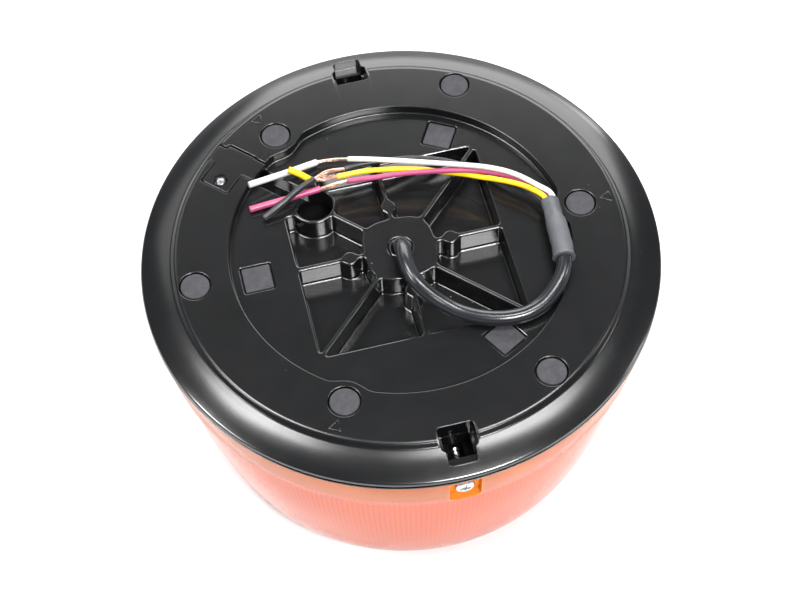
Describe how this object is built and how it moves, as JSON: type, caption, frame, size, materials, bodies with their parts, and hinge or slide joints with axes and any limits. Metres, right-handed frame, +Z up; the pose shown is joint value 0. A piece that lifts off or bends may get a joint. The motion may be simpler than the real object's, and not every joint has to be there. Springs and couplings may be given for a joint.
{
  "type": "led warning beacon",
  "caption": "Low round amber LED warning beacon with a black bolt-down base, standing upside down on its lens, with its cable and stripped leads lying across the base.",
  "frame": {"origin": "on the ground under the middle of the lens crown, which the inverted beacon stands on", "axes": "+Z up, out of the mounting face of the base; +X through the first bolt position"},
  "size_m": [0.181, 0.181, 0.1102],
  "materials": {
    "black_plastic": "satin injection-moulded black plastic",
    "grey_rubber": "matt grey rubber",
    "amber_lens": "clear amber acrylic, glossy",
    "gasket_rubber": "black rubber",
    "zinc_steel": "zinc-plated steel",
    "cable_sheath": "semi-gloss black PVC sheath",
    "heat_shrink": "grey-black heat-shrink tube",
    "white_insulation": "white PVC insulation",
    "pink_insulation": "pink PVC insulation",
    "yellow_insulation": "yellow PVC insulation",
    "black_insulation": "black PVC insulation",
    "white_nylon": "natural nylon",
    "solder_mask": "green solder mask on glass-epoxy",
    "bare_aluminium": "extruded aluminium",
    "led_board": "white solder mask",
    "clear_optic": "clear acrylic",
    "capacitor_sleeve": "printed film sleeve, print left out",
    "ferrite": "ferrite"
  },
  "bodies": {
    "body": {"base_housing": "black_plastic", "foot_pad_1": "grey_rubber", "foot_pad_2": "grey_rubber", "foot_pad_3": "grey_rubber", "square_pad_1": "grey_rubber", "square_pad_2": "grey_rubber", "square_pad_3": "grey_rubber", "lens": "amber_lens", "lens_gasket": "gasket_rubber", "cable_grommet": "gasket_rubber", "cap_screw": "zinc_steel", "board_screw_1": "zinc_steel", "board_screw_2": "zinc_steel", "board_screw_3": "zinc_steel", "board_screw_4": "zinc_steel", "cable_jacket": "cable_sheath", "heat_shrink_sleeve": "heat_shrink", "lead_white": "white_insulation", "slug_white": "white_insulation", "lead_pink": "pink_insulation", "slug_pink": "pink_insulation", "lead_yellow": "yellow_insulation", "slug_yellow": "yellow_insulation", "lead_black": "black_insulation", "slug_black": "black_insulation", "cable_tie": "white_nylon", "cable_connector": "white_nylon", "board_header": "white_nylon", "driver_board": "solder_mask", "heat_sink": "bare_aluminium", "led_board_1": "led_board", "led_board_2": "led_board", "led_board_3": "led_board", "led_board_4": "led_board", "led_board_5": "led_board", "led_board_6": "led_board", "tower_cap": "led_board", "optic_ring": "clear_optic", "capacitor_1": "capacitor_sleeve", "capacitor_2": "capacitor_sleeve", "inductor": "ferrite"},
    "exit_cover": {"cable_exit_cover": "black_plastic", "cover_screw": "zinc_steel"},
    "bolt_plug_1": {"bolt_plug_1": "grey_rubber"},
    "bolt_plug_2": {"bolt_plug_2": "grey_rubber"},
    "bolt_plug_3": {"bolt_plug_3": "grey_rubber"},
    "lens_screw_front": {"lens_screw_front": "zinc_steel"},
    "lens_screw_rear": {"lens_screw_rear": "zinc_steel"}
  },
  "joints": [
    {"name": "exit_cover_lift", "type": "slide", "parent": "body", "child": "exit_cover", "axis": [0, 0, 1], "range_m": [0, 0.01]},
    {"name": "bolt_plug_1_pull", "type": "slide", "parent": "body", "child": "bolt_plug_1", "axis": [0, 0, 1], "range_m": [0, 0.008]},
    {"name": "bolt_plug_2_pull", "type": "slide", "parent": "body", "child": "bolt_plug_2", "axis": [0, 0, 1], "range_m": [0, 0.008]},
    {"name": "bolt_plug_3_pull", "type": "slide", "parent": "body", "child": "bolt_plug_3", "axis": [0, 0, 1], "range_m": [0, 0.008]},
    {"name": "lens_screw_front_out", "type": "slide", "parent": "body", "child": "lens_screw_front", "axis": [0, -1, 0], "range_m": [0, 0.018]},
    {"name": "lens_screw_rear_out", "type": "slide", "parent": "body", "child": "lens_screw_rear", "axis": [0, 1, 0], "range_m": [0, 0.018]}
  ]
}
